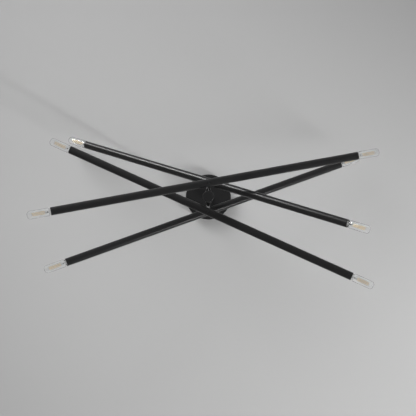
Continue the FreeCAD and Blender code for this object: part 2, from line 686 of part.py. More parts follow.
def make_tube(level):
    """One lamp tube, slotted for its arm and drilled for its pin, with the pivot block inside it."""
    tag = "tube_%d" % level
    bar = cylinder(tag + "_bar", "tube_outer_dia", "tube_length", ("-tube_length / 2", "0", "0"), ALONG_X)
    slot_depth = "(tube_outer_dia / 2 + cut_overrun)"
    pin_hole_dia = "pin_dia + 2 * seat_gap"
    tools = [
        cylinder(tag + "_hollow", TUBE_INNER, "tube_length + 2 * cut_overrun",
                 ("-tube_length / 2 - cut_overrun", "0", "0"), ALONG_X),
        box(tag + "_slot", ("2 * " + SLOT_HALF, slot_depth, "tongue_thickness + 2 * slot_clearance"),
            ("0", "-" + slot_depth + " / 2", "0")),
        cylinder(tag + "_pin_hole", pin_hole_dia, "2 * tube_outer_dia", ("0", "0", "-tube_outer_dia")),
    ]
    keep(cut(tag, bar, tools), "tube_%d" % level, tube_place(level))

    tag = "block_%d" % level
    block_dia = "(tube_outer_dia - 2 * tube_wall - 2 * block_play)"
    bar = cylinder(tag + "_bar", block_dia, "block_length", ("-block_length / 2", "0", "0"), ALONG_X)
    mouth_depth = "(" + block_dia + " - block_web + cut_overrun)"
    tools = [
        box(tag + "_mouth", ("2 * " + SLOT_HALF, mouth_depth, "tongue_thickness + 2 * tongue_play"),
            ("0", block_dia + " / 2 - block_web - " + mouth_depth + " / 2", "0")),
        cylinder(tag + "_pin_hole", pin_hole_dia, "2 * tube_outer_dia", ("0", "0", "-tube_outer_dia")),
    ]
    for side, name, turn in ((-1, "left", ALONG_MINUS_X), (1, "right", ALONG_X)):
        recess_from = "%d * (block_length / 2 - socket_tail_depth)" % side
        tools.append(cylinder(tag + "_recess_" + name, "lead_dia + 2 * seat_gap",
                              "socket_tail_depth + cut_overrun", (recess_from, "0", "0"), turn))
    keep(cut(tag, bar, tools), "pivot_block_%d" % level, tube_place(level))


def make_socket(tag, side):
    """One lamp socket at a tube's end."""
    outward = ALONG_X if side > 0 else ALONG_MINUS_X
    face = "(tube_length / 2 - socket_recess)"

    def along(formula):
        """A place along the tube, measured from its middle towards this end."""
        return ("%d * (" % side + formula + ")", "0", "0")

    bar = cylinder(tag + "_bar", "tube_outer_dia - 2 * tube_wall - 2 * socket_play", "socket_length",
                   along(face + " - socket_length"), outward)
    skirt_depth = "(base_skirt_length + base_front - socket_recess + base_play)"
    tools = [
        cylinder(tag + "_lamp_hole", "base_dia + 2 * base_play", "socket_depth + cut_overrun",
                 along(face + " - socket_depth"), outward),
        cylinder(tag + "_skirt_hole", "base_skirt_dia + 2 * base_play", skirt_depth + " + cut_overrun",
                 along(face + " - " + skirt_depth), outward),
        cylinder(tag + "_tail_hole", "lead_dia + 2 * seat_gap", "socket_tail_depth + cut_overrun",
                 along(face + " - socket_length - cut_overrun"), outward),
    ]
    return cut(tag, bar, tools)


def lamp_end(level, side):
    """The middle of a tube's end, with +X pointing out of the tube."""
    outward = Rotation(Z_AXIS, QUARTER_TURN * (1 - side))
    end = Placement(Vector(side * number("tube_length / 2"), 0, 0), outward)
    return tube_place(level).multiply(end)


def make_base(tag):
    """One lamp base, from its contact to its skirt, with zero at the tube's end."""
    skirt_back = "(-base_front - base_skirt_length)"
    shell_back = "(-base_front - base_skirt_length - base_thread_length)"
    cone_back = "(-base_front - base_skirt_length - base_thread_length - insulator_length)"
    contact_back = cone_back + " - contact_length"
    outline = [
        (contact_back, "0"),
        (contact_back, "contact_dia / 2"),
        (cone_back, "contact_dia / 2"),
    ]
    for turn in range(int(number("base_thread_length / base_ridge_spacing"))):
        valley = shell_back + " + %d * base_ridge_spacing" % turn
        outline.append((valley, "base_dia / 2 - base_thread_depth"))
        outline.append((valley + " + base_ridge_spacing / 2", "base_dia / 2"))
    outline += [
        (skirt_back, "base_dia / 2 - base_thread_depth"),
        (skirt_back, "base_skirt_dia / 2"),
        ("-base_front", "base_skirt_dia / 2"),
        ("-base_front", "0"),
    ]
    return turned_body(tag, outline, "X")


def glass_form(tag, inset):
    """The solid form of a lamp's glass with its rounded tip, drawn in all over by the inset."""
    neck_radius = "glass_neck_dia / 2 - " + inset
    full_radius = "glass_dia / 2 - " + inset
    outline = [
        ("-base_front + " + inset, "0"),
        ("-base_front + " + inset, neck_radius),
        ("glass_neck_length", neck_radius),
        ("glass_shoulder", full_radius),
        ("glass_reach - " + inset, full_radius),
        ("glass_reach - " + inset, "0"),
    ]
    form = turned_body(tag, outline, "X")
    round_body_edges(form, tag + "_tip", "glass_tip_radius - " + inset,
                     ring_at("x", "glass_reach - " + inset, "glass_dia - 2 * " + inset))
    return form


def make_glass(tag):
    """One clear tubular envelope with a rounded tip, closed at its neck."""
    return cut(tag, glass_form(tag + "_outside", "0"), [glass_form(tag + "_hollow", "glass_wall")])


def make_filament(tag):
    """The filament rods of one lamp on their glass mount, joined by support wires."""
    mount_from = "(-base_front + glass_wall + seat_gap)"
    rods_from = "(" + mount_from + " + mount_length + filament_gap)"
    rods_end = "(" + rods_from + " + filament_length)"
    wire_from = mount_from + " + mount_length - support_dia / 2"
    pieces = [
        cylinder(tag + "_mount", "mount_dia", "mount_length", (mount_from, "0", "0"), ALONG_X),
        cylinder(tag + "_lead_in", "support_dia", "filament_gap + support_dia", (wire_from, "0", "0"),
                 ALONG_X),
    ]
    for place, name in ((rods_from, "near"), (rods_end, "far")):
        pieces.append(cylinder(tag + "_across_y_" + name, "support_dia", "2 * filament_offset",
                               (place, "-filament_offset", "0"), ALONG_Y))
        pieces.append(cylinder(tag + "_across_z_" + name, "support_dia", "2 * filament_offset",
                               (place, "0", "-filament_offset")))
    for side in BOTH_WAYS:
        offset = "%d * filament_offset" % side
        pieces.append(cylinder(tag + "_rod_y_%d" % (side + 1), "filament_dia", "filament_length",
                               (rods_from, offset, "0"), ALONG_X))
        pieces.append(cylinder(tag + "_rod_z_%d" % (side + 1), "filament_dia", "filament_length",
                               (rods_from, "0", offset), ALONG_X))
    return fuse(tag, pieces)


def make_lamps(level):
    """The sockets, leads and lamps at both ends of one tube."""
    sockets = []
    leads = []
    bases = []
    glasses = []
    filaments = []
    for side, name in ((-1, "left"), (1, "right")):
        end = lamp_end(level, side)
        sockets.append(make_socket("socket_%d_%s" % (level, name), side))
        lead_from = "(block_length / 2 - socket_tail_depth + seat_gap)"
        lead_end = "(tube_length / 2 - socket_recess - socket_length + socket_tail_depth - seat_gap)"
        outward = ALONG_X if side > 0 else ALONG_MINUS_X
        leads.append(cylinder("lead_%d_%s" % (level, name), "lead_dia", lead_end + " - " + lead_from,
                              ("%d * " % side + lead_from, "0", "0"), outward))
        for make, pieces, word in ((make_base, bases, "base"), (make_glass, glasses, "glass"),
                                   (make_filament, filaments, "filament")):
            piece = make("%s_%d_%s" % (word, level, name))
            piece.Placement = end
            pieces.append(piece)
    keep(group("sockets_%d" % level, sockets), "lamp_sockets_%d" % level, tube_place(level))
    keep(group("leads_%d" % level, leads), "lamp_leads_%d" % level, tube_place(level))
    keep(group("bases_%d" % level, bases), "lamp_bases_%d" % level)
    keep(group("glasses_%d" % level, glasses), "lamp_glass_%d" % level)
    keep(group("filaments_%d" % level, filaments), "lamp_filaments_%d" % level)


def check_and_export():
    """Stops on any failed object or shape, and then writes one file for each piece."""
    doc.recompute()
    for item in doc.Objects:
        if "Invalid" in item.State or "Error" in item.State:
            raise RuntimeError(item.Name + " failed: " + ", ".join(item.State))
    for label, item in parts.items():
        if item.Shape.isNull() or not item.Shape.isValid() or not item.Shape.Solids:
            raise RuntimeError(label + " has no valid solid")
    os.makedirs("parts", exist_ok=True)
    for label, item in parts.items():
        item.Shape.exportStep(os.path.join("parts", label + ".step"))
    print(len(parts), "pieces,", sum(len(item.Shape.Solids) for item in parts.values()), "solids")


make_bracket()
make_canopy()
make_stem()
make_terminal()
make_cable()
for level in LEVELS:
    make_hub(level)
    make_arm(level)
    make_pin(level)
    make_tube(level)
    make_lamps(level)
make_hub_screws()
make_friction_washers()
check_and_export()
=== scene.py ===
"""Dresses the crossed tube ceiling light: finishes, lamps and studio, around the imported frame."""

from __future__ import annotations

import json
import logging
import math
from dataclasses import dataclass
from enum import Enum
from typing import ClassVar

import bmesh
import bpy
from mathutils import Matrix, Vector

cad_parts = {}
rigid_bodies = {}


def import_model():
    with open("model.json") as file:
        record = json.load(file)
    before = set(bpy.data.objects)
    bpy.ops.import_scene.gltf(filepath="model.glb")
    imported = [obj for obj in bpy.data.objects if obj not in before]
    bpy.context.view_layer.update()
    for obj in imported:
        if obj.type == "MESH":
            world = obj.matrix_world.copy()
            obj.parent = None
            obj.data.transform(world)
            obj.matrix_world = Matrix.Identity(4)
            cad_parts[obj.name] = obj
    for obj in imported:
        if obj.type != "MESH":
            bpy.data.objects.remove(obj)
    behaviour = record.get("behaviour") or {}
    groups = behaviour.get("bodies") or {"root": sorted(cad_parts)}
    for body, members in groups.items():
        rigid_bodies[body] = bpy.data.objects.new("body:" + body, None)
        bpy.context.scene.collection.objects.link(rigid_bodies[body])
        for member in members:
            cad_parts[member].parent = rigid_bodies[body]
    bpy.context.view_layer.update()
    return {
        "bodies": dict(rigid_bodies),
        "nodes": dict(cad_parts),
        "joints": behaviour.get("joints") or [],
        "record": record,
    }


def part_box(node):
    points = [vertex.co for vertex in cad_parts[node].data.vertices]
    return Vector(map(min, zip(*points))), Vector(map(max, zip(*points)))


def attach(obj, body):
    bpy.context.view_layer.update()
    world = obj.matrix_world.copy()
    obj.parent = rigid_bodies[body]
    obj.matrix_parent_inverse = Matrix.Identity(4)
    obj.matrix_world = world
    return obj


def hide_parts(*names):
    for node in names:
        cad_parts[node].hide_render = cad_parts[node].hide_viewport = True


LOG = logging.getLogger("ceiling_light")
MM = 0.001
TUBE_COUNT = 4
FLOOR_SHEET = "floor_sheet"
FLOAT, COUNT, COLOUR = "NodeSocketFloat", "NodeSocketInt", "NodeSocketColor"
Colour = tuple[float, float, float, float]
Profile = list[tuple[float, float]]
BLACK: Colour = (0.0, 0.0, 0.0, 1.0)
WHITE: Colour = (1.0, 1.0, 1.0, 1.0)


class Slot(Enum):
    """The record's material slots, by the pieces that they finish."""

    BLACK = "satin_black"
    ZINC = "zinc_steel"
    DARK_STEEL = "dark_steel"
    GROUND = "ground_green"
    BRASS = "brass_block"
    NYLON = "black_nylon"
    SOCKET = "socket_black"
    TERMINAL = "white_plastic"
    SHEATH = "cable_sheath"
    LAMP_BASE = "lamp_base_metal"
    GLASS = "lamp_glass"
    FILAMENT = "lamp_filament"


class Graph:
    """Adds nodes to one tree and joins them."""

    def __init__(self, tree: bpy.types.NodeTree) -> None:
        """Empties the tree.

        Args:
            tree: the tree to build in.
        """
        self.tree = tree
        tree.nodes.clear()

    def add(self, kind: str, inputs: dict | None = None, **settings: object) -> bpy.types.Node:
        """Adds a node.

        Args:
            kind: the node's type name.
            inputs: values or sockets for its inputs, by name or number.
            settings: the node's own properties.

        Returns:
            The new node.
        """
        node = self.tree.nodes.new(kind)
        for name, value in settings.items():
            setattr(node, name, value)
        for key, value in (inputs or {}).items():
            if isinstance(value, bpy.types.NodeSocket):
                self.tree.links.new(value, node.inputs[key])
            else:
                node.inputs[key].default_value = value
        return node

    def place(self) -> bpy.types.NodeSocket:
        """Adds the object coordinates and returns their socket."""
        return self.add("ShaderNodeTexCoord").outputs["Object"]

    def maths(self, operation: str, first: object, second: object = 0.0, clamp: bool = False
              ) -> bpy.types.NodeSocket:
        """Works one value out of two.

        Args:
            operation: the operation's name.
            first: number or socket.
            second: number or socket, where the operation takes two.
            clamp: whether the result is kept between 0 and 1.

        Returns:
            The result's socket.
        """
        node = self.add("ShaderNodeMath", {0: first, 1: second}, operation=operation, use_clamp=clamp)
        return node.outputs[0]

    def ramp(self, factor: bpy.types.NodeSocket, low: float, high: float) -> bpy.types.NodeSocket:
        """Stretches a value so that low becomes 0 and high becomes 1, and returns the new socket."""
        node = self.add("ShaderNodeMapRange", {"Value": factor, "From Min": low, "From Max": high})
        return node.outputs["Result"]

    def mix(self, factor: object, first: object, second: object) -> bpy.types.NodeSocket:
        """Mixes two colours.

        Args:
            factor: how much of the second, a number or a socket.
            first: colour or socket at factor 0.
            second: colour or socket at factor 1.

        Returns:
            The mixed colour's socket.
        """
        node = self.add("ShaderNodeMix", data_type="RGBA")
        for key, value in ((0, factor), (6, first), (7, second)):
            if isinstance(value, bpy.types.NodeSocket):
                self.tree.links.new(value, node.inputs[key])
            else:
                node.inputs[key].default_value = value
        return node.outputs[2]


def new_group(name: str, kind: str, inputs: dict[str, str], outputs: dict[str, str]) -> Graph:
    """Makes a node group with named sockets.

    Args:
        name: the group's name.
        kind: the tree's type.
        inputs: socket type, by name.
        outputs: socket type, by name.

    Returns:
        The graph of the empty group.
    """
    tree = bpy.data.node_groups.new(name, kind)
    for label, socket_kind in inputs.items():
        tree.interface.new_socket(label, in_out="INPUT", socket_type=socket_kind)
    for label, socket_kind in outputs.items():
        tree.interface.new_socket(label, in_out="OUTPUT", socket_type=socket_kind)
    return Graph(tree)


class SharedEffects:
    """The surface effects that several finishes use, each built once as a group."""

    PEBBLE_DETAIL = 2.0
    WAVE_DETAIL = 1.0
    CLOUD_SCALE = 38.0
    CLOUD_DETAIL = 5.0
    CLOUD_ROUGHNESS = 0.62
    CLOUD_RANGE = (0.35, 0.75)
    SPECK_SCALE = 900.0
    SPECK_DETAIL = 1.0
    SPECK_RANGE = (0.68, 0.78)
    DUST_COLOUR = (0.3, 0.29, 0.28, 1.0)

    def __init__(self) -> None:
        """Builds the groups."""
        self.coat = self._coat_texture()
        self.handling = self._handling()

    def _coat_texture(self) -> bpy.types.NodeTree:
        """Builds the fine pebbled skin of a sprayed or moulded surface, and returns its tree."""
        graph = new_group(
            "pebbled_skin", "ShaderNodeTree",
            {"Pebble Scale": FLOAT, "Wave Scale": FLOAT}, {"Height": FLOAT})
        ports = graph.add("NodeGroupInput").outputs
        place = graph.place()
        pebbles = graph.add("ShaderNodeTexNoise", {"Vector": place, "Scale": ports["Pebble Scale"],
                                                   "Detail": self.PEBBLE_DETAIL})
        waves = graph.add("ShaderNodeTexNoise", {"Vector": place, "Scale": ports["Wave Scale"],
                                                 "Detail": self.WAVE_DETAIL})
        height = graph.maths("ADD", pebbles.outputs[0], waves.outputs[0])
        graph.add("NodeGroupOutput", {"Height": height})
        return graph.tree

    def _handling(self) -> bpy.types.NodeTree:
        """Builds the faint smears and dust of a surface that has been handled, and returns its tree."""
        graph = new_group(
            "handled_surface", "ShaderNodeTree",
            {"Colour": COLOUR, "Dust Amount": FLOAT, "Roughness": FLOAT, "Smear": FLOAT},
            {"Colour": COLOUR, "Roughness": FLOAT})
        ports = graph.add("NodeGroupInput").outputs
        place = graph.place()
        clouds = graph.add("ShaderNodeTexNoise", {
            "Vector": place, "Scale": self.CLOUD_SCALE, "Detail": self.CLOUD_DETAIL,
            "Roughness": self.CLOUD_ROUGHNESS})
        specks = graph.add("ShaderNodeTexNoise", {
            "Vector": place, "Scale": self.SPECK_SCALE, "Detail": self.SPECK_DETAIL})
        speck_mask = graph.ramp(specks.outputs[0], *self.SPECK_RANGE)
        cloud_mask = graph.ramp(clouds.outputs[0], *self.CLOUD_RANGE)
        dusty = graph.maths("MAXIMUM", cloud_mask, speck_mask)
        amount = graph.maths("MULTIPLY", dusty, ports["Dust Amount"])
        colour = graph.mix(amount, ports["Colour"], self.DUST_COLOUR)
        smear = graph.maths("MULTIPLY", cloud_mask, ports["Smear"])
        rough = graph.maths("ADD", smear, ports["Roughness"], clamp=True)
        graph.add("NodeGroupOutput", {"Colour": colour, "Roughness": rough})
        return graph.tree


@dataclass(frozen=True)
class Finish:
    """A finish with the shared handling and skin effects."""

    name: str
    colour: Colour
    roughness: float = 0.4
    metallic: float = 0.0
    specular: float = 0.5
    dust_amount: float = 0.03
    smear: float = 0.08
    pebble_scale: float = 1500.0
    wave_scale: float = 160.0
    bump: float = 0.05
    bump_depth: float = 0.05 * MM

    def build(self, effects: SharedEffects) -> bpy.types.Material:
        """Builds the material.

        Args:
            effects: the shared groups.

        Returns:
            The finished material.
        """
        material = bpy.data.materials.new(self.name)
        material.use_nodes = True
        graph = Graph(material.node_tree)
        handled = graph.add("ShaderNodeGroup", {
            "Colour": self.colour, "Dust Amount": self.dust_amount, "Roughness": self.roughness,
            "Smear": self.smear}, node_tree=effects.handling)
        skin = graph.add("ShaderNodeGroup", {
            "Pebble Scale": self.pebble_scale, "Wave Scale": self.wave_scale}, node_tree=effects.coat)
        bump = graph.add("ShaderNodeBump", {"Strength": self.bump, "Distance": self.bump_depth,
                                            "Height": skin.outputs["Height"]})
        shader = graph.add("ShaderNodeBsdfPrincipled", {
            "Base Color": self.base_colour(graph, handled.outputs["Colour"]),
            "Roughness": handled.outputs["Roughness"], "Metallic": self.metallic,
            "Specular IOR Level": self.specular, "Normal": bump.outputs["Normal"]})
        self.extra(graph, shader)
        graph.add("ShaderNodeOutputMaterial", {"Surface": shader.outputs["BSDF"]})
        return material

    def base_colour(self, graph: Graph, handled: bpy.types.NodeSocket) -> bpy.types.NodeSocket:
        """Gives the colour that reaches the shader, here the handled colour as it is."""
        return handled

    def extra(self, graph: Graph, shader: bpy.types.Node) -> None:
        """Changes the shader further, here not at all."""


@dataclass(frozen=True)
class BrushedFinish(Finish):
    """A plated or turned metal with fine lines along one axis."""

    line_stretch: tuple[float, float, float] = (40.0, 900.0, 900.0)
    line_colour: Colour = (0.3, 0.3, 0.31, 1.0)
    line_detail: float = 3.0
    line_range: tuple[float, float] = (0.45, 0.8)

    def base_colour(self, graph: Graph, handled: bpy.types.NodeSocket) -> bpy.types.NodeSocket:
        """Lays fine lines over the colour.

        Args:
            graph: the material's graph.
            handled: the handled colour.

        Returns:
            The lined colour's socket.
        """
        stretched = graph.add("ShaderNodeMapping", {"Vector": graph.place(), "Scale": self.line_stretch})
        lines = graph.add("ShaderNodeTexNoise", {"Vector": stretched.outputs[0], "Scale": 1.0,
                                                 "Detail": self.line_detail})
        mask = graph.ramp(lines.outputs[0], *self.line_range)
        return graph.mix(mask, handled, self.line_colour)


@dataclass(frozen=True)
class GlassFinish(Finish):
    """Clear blown glass."""

    ior: float = 1.45

    def extra(self, graph: Graph, shader: bpy.types.Node) -> None:
        """Makes the shader clear.

        Args:
            graph: the material's graph.
            shader: the shader to change.
        """
        shader.inputs["Transmission Weight"].default_value = 1.0
        shader.inputs["IOR"].default_value = self.ior


@dataclass(frozen=True)
class PhosphorFinish(Finish):
    """The granular coating of a filament rod, paler between its grains."""

    grain_pitch: float = 1.3 * MM
    grain_range: tuple[float, float] = (0.2, 0.7)
    edge_colour: Colour = (0.97, 0.8, 0.54, 1.0)

    def base_colour(self, graph: Graph, handled: bpy.types.NodeSocket) -> bpy.types.NodeSocket:
        """Lays grains of the coating over the colour.

        Args:
            graph: the material's graph.
            handled: the handled colour.

        Returns:
            The grained colour's socket.
        """
        grains = graph.add("ShaderNodeTexVoronoi", {"Vector": graph.place(),
                                                     "Scale": 1.0 / self.grain_pitch})
        mask = graph.ramp(grains.outputs["Distance"], *self.grain_range)
        return graph.mix(mask, handled, self.edge_colour)


FINISHES: dict[Slot, Finish] = {
    Slot.BLACK: Finish("satin_black_coat", (0.0155, 0.0155, 0.0158, 1.0), roughness=0.28, specular=0.25,
                       dust_amount=0.007, smear=0.035, bump=0.04),
    Slot.ZINC: BrushedFinish("zinc_plate", (0.62, 0.63, 0.65, 1.0), roughness=0.32, metallic=1.0,
                             dust_amount=0.08, bump=0.1),
    Slot.DARK_STEEL: BrushedFinish("black_oxide", (0.05, 0.05, 0.055, 1.0), roughness=0.35, metallic=1.0,
                                   line_colour=(0.1, 0.1, 0.1, 1.0)),
    Slot.GROUND: Finish("green_ground_screw", (0.03, 0.22, 0.07, 1.0), roughness=0.35, metallic=0.6),
    Slot.BRASS: BrushedFinish("turned_brass", (0.72, 0.5, 0.2, 1.0), roughness=0.25, metallic=1.0,
                              line_colour=(0.45, 0.3, 0.12, 1.0)),
    Slot.NYLON: Finish("black_nylon", (0.02, 0.02, 0.02, 1.0), roughness=0.5, bump=0.2),
    Slot.SOCKET: Finish("black_phenolic", (0.02, 0.019, 0.018, 1.0), roughness=0.45, bump=0.2),
    Slot.TERMINAL: Finish("white_nylon", (0.78, 0.78, 0.75, 1.0), roughness=0.45, bump=0.15,
                          dust_amount=0.1),
    Slot.SHEATH: Finish("black_sheath", (0.03, 0.03, 0.03, 1.0), roughness=0.6, bump=0.2),
    Slot.LAMP_BASE: BrushedFinish("nickel_shell", (0.76, 0.74, 0.7, 1.0), roughness=0.25, metallic=1.0,
                                  line_stretch=(900.0, 60.0, 60.0)),
    Slot.GLASS: GlassFinish("clear_lamp_glass", (0.985, 0.99, 0.99, 1.0), roughness=0.06,
                            dust_amount=0.01, smear=0.01, bump=0.02),
    Slot.FILAMENT: PhosphorFinish("filament_phosphor", (0.95, 0.73, 0.4, 1.0), roughness=0.5,
                                  dust_amount=0.0, bump=0.3),
}
WIRE_FINISH = BrushedFinish("lamp_wire", (0.5, 0.49, 0.47, 1.0), roughness=0.3, metallic=1.0)
ARM_FINISH = Finish("polished_black_arm", (0.005, 0.005, 0.005, 1.0), roughness=0.14,
                    dust_amount=0.005, smear=0.05)
FERRULE_FINISH = Finish("lamp_ferrule", (0.03, 0.022, 0.018, 1.0), roughness=0.5)


class Workshop:
    """Holds the materials and puts finished meshes in the scene."""

    def __init__(self) -> None:
        """Builds every material once."""
        effects = SharedEffects()
        self.materials = {slot: finish.build(effects) for slot, finish in FINISHES.items()}
        self.wire = WIRE_FINISH.build(effects)
        self.arm = ARM_FINISH.build(effects)
        self.ferrule = FERRULE_FINISH.build(effects)

    def add_piece(self, name: str, mesh: bpy.types.Mesh, body: str, slot: Slot,
                  material: bpy.types.Material | None = None, stands_for: tuple[str, ...] = ()
                  ) -> bpy.types.Object:
        """Puts a mesh in the scene as a piece of the light.

        Args:
            name: the piece's name.
            mesh: its mesh, in the frame's place.
            body: the body that it rides on.
            slot: the slot that it takes its finish from.
            material: its material, where that isn't the slot's own.
            stands_for: the frame's nodes that it replaces.

        Returns:
            The new object.
        """
        piece = bpy.data.objects.new(name, mesh)
        bpy.context.scene.collection.objects.link(piece)
        mesh.materials.clear()
        mesh.materials.append(material or self.materials[slot])
        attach(piece, body)
        if stands_for:
            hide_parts(*stands_for)
        LOG.info("piece %s on body %s", name, body)
        return piece


def mesh_from(form: bmesh.types.BMesh, name: str, place: Matrix, smooth_below: float = 40.0
              ) -> bpy.types.Mesh:
    """Turns a form into a placed mesh.

    Args:
        form: the form, in its own frame; it is freed.
        name: the mesh's name.
        place: where its own frame stands in the light's frame.
        smooth_below: edges bent less than this many degrees are smooth.

    Returns:
        The mesh.
    """
    mesh = bpy.data.meshes.new(name)
    form.transform(place)
    form.to_mesh(mesh)
    form.free()
    mesh.polygons.foreach_set("use_smooth", [True] * len(mesh.polygons))
    mesh.set_sharp_from_angle(angle=math.radians(smooth_below))
    return mesh


def lathe(form: bmesh.types.BMesh, profile: Profile, segments: int, inward: bool = False) -> None:
    """Turns an open line that starts and ends on the X axis into a closed surface.

    Args:
        form: the form to add to.
        profile: points (along X, distance from it), in metres.
        segments: faces round the axis.
        inward: whether the surface faces the axis, as the inside of a hollow does.
    """
    rings = []
    for along, out in profile:
        if out == 0:
            rings.append([form.verts.new((along, 0, 0))])
            continue
        turns = [math.tau * step / segments for step in range(segments)]
        rings.append([form.verts.new((along, out * math.cos(turn), out * math.sin(turn)))
                      for turn in turns])
    faces = []
    for near, far in zip(rings, rings[1:]):
        for step in range(segments):
            after = (step + 1) % segments
            corners = [near[step % len(near)], near[after % len(near)], far[after % len(far)],
                       far[step % len(far)]]
            faces.append(form.faces.new(list(dict.fromkeys(corners))))
    bmesh.ops.recalc_face_normals(form, faces=faces)
    if inward:
        bmesh.ops.reverse_faces(form, faces=faces)


def arc_points(centre: tuple[float, float], radius: float, start: float, end: float, steps: int
               ) -> Profile:
    """Gives points on an arc of a profile.

    Args:
        centre: the arc's centre.
        radius: its radius.
        start: angle of the first point, in degrees from the axis.
        end: angle of the last point.
        steps: spans between the points.

    Returns:
        The points.
    """
    angles = [math.radians(start + (end - start) * step / steps) for step in range(steps + 1)]
    return [(centre[0] + radius * math.cos(angle), centre[1] + radius * math.sin(angle))
            for angle in angles]


def rod(form: bmesh.types.BMesh, path: list[Vector], radius: float, segments: int = 10) -> None:
    """Adds a round wire with closed ends along a path.

    Args:
        form: the form to add to.
        path: the points of its centre line.
        radius: the wire's radius.
        segments: faces round it.
    """
    rings = []
    for index, point in enumerate(path):
        before = path[max(index - 1, 0)]
        after = path[min(index + 1, len(path) - 1)]
        turn = (after - before).to_track_quat("Z", "X").to_matrix()
        ring = []
        for step in range(segments):
            angle = math.tau * step / segments
            outward = turn @ Vector((math.cos(angle), math.sin(angle), 0))
            ring.append(form.verts.new(point + outward * radius))
        rings.append(ring)
    faces = [form.faces.new(rings[0]), form.faces.new(rings[-1])]
    for near, far in zip(rings, rings[1:]):
        for step in range(segments):
            after = (step + 1) % segments
            faces.append(form.faces.new([near[step], near[after], far[after], far[step]]))
    bmesh.ops.recalc_face_normals(form, faces=faces)


class ModifierRecipe:
    """A Geometry Nodes tree that makes a mesh, which is then kept as a plain one."""

    def __init__(self, name: str, sizes: dict[str, str]) -> None:
        """Starts the tree.

        Args:
            name: the tree's name.
            sizes: socket type of each named size.
        """
        self.name = name
        self.graph = new_group(name, "GeometryNodeTree", sizes, {"Mesh": "NodeSocketGeometry"})
        self.ports = self.graph.add("NodeGroupInput")

    def finish(self, instances: bpy.types.NodeSocket, material: bpy.types.Material) -> None:
        """Ends the tree.

        Args:
            instances: the geometry that it made.
            material: the material that it sets.
        """
        whole = self.graph.add("GeometryNodeRealizeInstances", {"Geometry": instances})
        painted = self.graph.add("GeometryNodeSetMaterial", {"Geometry": whole.outputs[0],
                                                             "Material": material})
        self.graph.add("NodeGroupOutput", {"Mesh": painted.outputs[0]})

    def make(self, values: dict[str, object]) -> bmesh.types.BMesh:
        """Runs the tree once.

        Args:
            values: the named sizes.

        Returns:
            The result as a form.
        """
        holder = bpy.data.objects.new(self.name, bpy.data.meshes.new(self.name))
        bpy.context.scene.collection.objects.link(holder)
        modifier = holder.modifiers.new(self.name, "NODES")
        modifier.node_group = self.graph.tree
        for item in self.graph.tree.interface.items_tree:
            if item.in_out == "INPUT" and item.name in values:
                modifier[item.identifier] = values[item.name]
        depsgraph = bpy.context.evaluated_depsgraph_get()
        mesh = bpy.data.meshes.new_from_object(holder.evaluated_get(depsgraph), depsgraph=depsgraph)
        holder.modifiers.clear()
        bpy.data.objects.remove(holder)
        form = bmesh.new()
        form.from_mesh(mesh)
        bpy.data.meshes.remove(mesh)
        return form


class RodCage(ModifierRecipe):
    """Filament rods spaced evenly round the lamp's axis, thinner at their ends.

    A rod's length is cut at the stations. Its taper starts at a share of the length from its middle.
    """

    STATIONS = 25
    TAPER_FROM = 0.44
    TIP_SHARE = 0.55

    def __init__(self, material: bpy.types.Material) -> None:
        """Builds the tree.

        Args:
            material: the rods' material.
        """
        super().__init__("rod_cage", {"Rods": COUNT, "Spread": FLOAT, "Start": FLOAT, "Length": FLOAT,
                                      "Radius": FLOAT, "Sides": COUNT})
        graph, sizes = self.graph, self.ports.outputs
        circle = graph.add("GeometryNodeMeshCircle", {"Vertices": sizes["Rods"],
                                                      "Radius": sizes["Spread"]})
        offset = graph.add("ShaderNodeCombineXYZ", {0: sizes["Start"]})
        upright = graph.add("GeometryNodeTransform", {
            "Geometry": circle.outputs[0], "Translation": offset.outputs[0],
            "Rotation": (0.0, math.pi / 2, 0.0)})
        length = graph.add("ShaderNodeCombineXYZ", {0: sizes["Length"]})
        line = graph.add("GeometryNodeCurvePrimitiveLine", {"End": length.outputs[0]})
        stations = graph.add("GeometryNodeResampleCurve", {"Curve": line.outputs[0],
                                                           "Count": self.STATIONS})
        along = graph.add("GeometryNodeSplineParameter").outputs["Factor"]
        distance = graph.maths("ABSOLUTE", graph.maths("SUBTRACT", along, 0.5))
        taper = graph.add("ShaderNodeMapRange", {
            "Value": distance, "From Min": self.TAPER_FROM, "From Max": 0.5, "To Min": 1.0,
            "To Max": self.TIP_SHARE})
        section = graph.add("GeometryNodeCurvePrimitiveCircle", {"Resolution": sizes["Sides"],
                                                                 "Radius": 1.0})
        tube = graph.add("GeometryNodeCurveToMesh", {
            "Curve": stations.outputs[0], "Profile Curve": section.outputs[0],
            "Scale": graph.maths("MULTIPLY", taper.outputs[0], sizes["Radius"]), "Fill Caps": True})
        rods = graph.add("GeometryNodeInstanceOnPoints", {"Points": upright.outputs[0],
                                                          "Instance": tube.outputs[0]})
        self.finish(rods.outputs[0], material)


